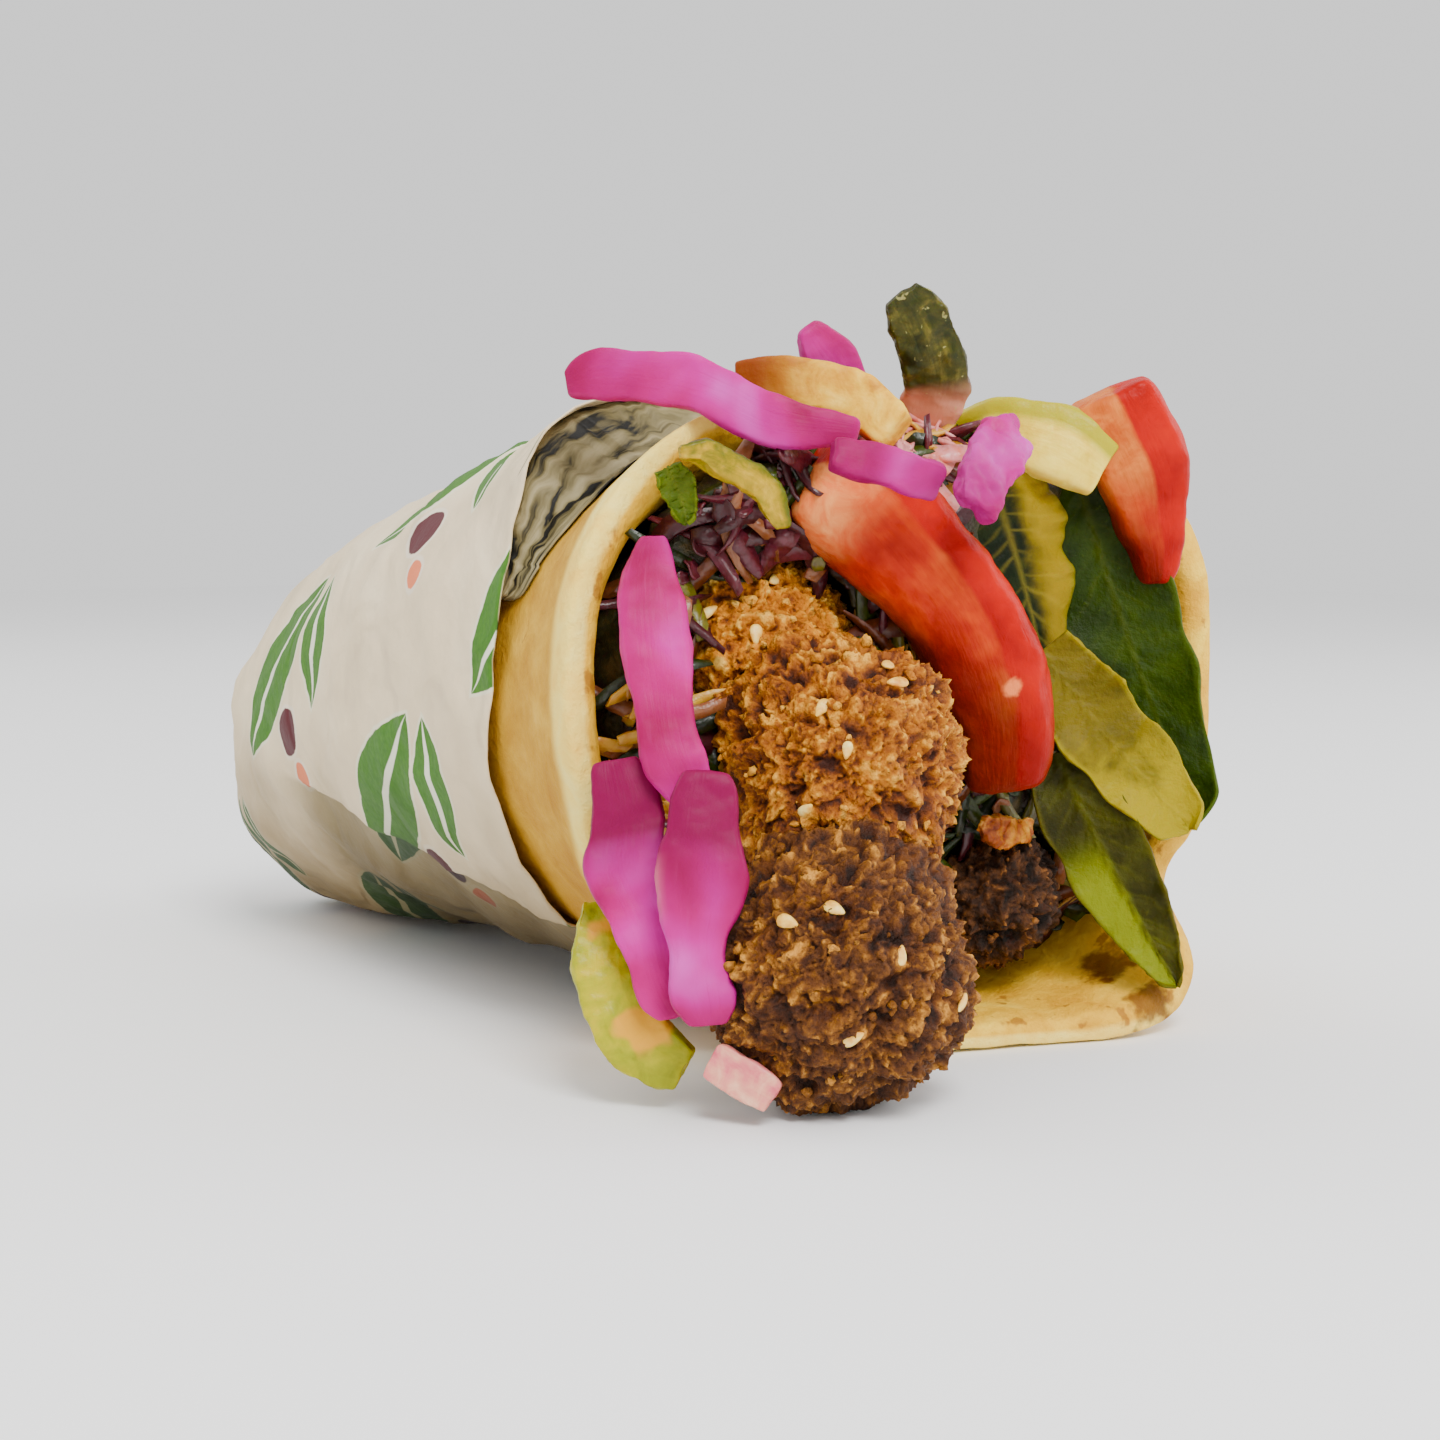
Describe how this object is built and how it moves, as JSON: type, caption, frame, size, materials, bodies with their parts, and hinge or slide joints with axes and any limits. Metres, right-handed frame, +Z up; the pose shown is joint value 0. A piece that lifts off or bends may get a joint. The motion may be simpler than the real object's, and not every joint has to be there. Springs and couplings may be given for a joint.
{
  "type": "falafel sandwich",
  "caption": "Falafel wrap lying on its side: flatbread in printed paper, open mouth full of falafel, pickled turnip, tomato and lettuce.",
  "frame": {"origin": "on the table, under the middle of the sandwich's bounding box", "axes": "+Y runs from the open mouth to the closed end of the paper, +Z is up, the mouth looks to -Y"},
  "size_m": [0.1084, 0.1989, 0.1022],
  "materials": {
    "flatbread": "dry baked flatbread, toasted spots",
    "wrapping_paper": "matt wrapping paper, lightly creased",
    "salad_mix": "dark packed salad",
    "falafel_crust": "rough deep-fried crust",
    "tomato_flesh": "wet tomato",
    "pink_turnip": "wet pickled turnip",
    "pink_onion": "wet pickled onion",
    "pepper_yellow": "wet pickled pepper",
    "potato_gold": "fried potato",
    "cucumber_green": "wet cucumber",
    "rib_white": "pale lettuce rib",
    "pepper_green": "dark green pepper",
    "cabbage_cream": "cabbage with sauce",
    "lettuce_green": "fresh leaf"
  },
  "bodies": {
    "root": {"bread": "flatbread", "paper_wrap": "wrapping_paper", "salad_core": "salad_mix", "falafel_1": "falafel_crust", "falafel_2": "falafel_crust", "falafel_3": "falafel_crust", "falafel_4": "falafel_crust", "tomato_wedge_1": "tomato_flesh", "tomato_wedge_2": "tomato_flesh", "turnip_strip_1": "pink_turnip", "turnip_strip_2": "pink_turnip", "turnip_strip_3": "pink_turnip", "turnip_strip_4": "pink_turnip", "turnip_strip_5": "pink_turnip", "turnip_strip_6": "pink_turnip", "turnip_strip_7": "pink_turnip", "onion_piece": "pink_onion", "pickled_pepper": "pepper_yellow", "fried_potato": "potato_gold", "cucumber_stick": "cucumber_green", "lettuce_rib": "rib_white", "pepper_strip": "pepper_green", "tahini_cabbage": "cabbage_cream", "lettuce_leaf_1": "lettuce_green", "lettuce_leaf_2": "lettuce_green", "lettuce_leaf_3": "lettuce_green", "lettuce_leaf_4": "lettuce_green", "herb_leaf": "lettuce_green"}
  },
  "joints": []
}
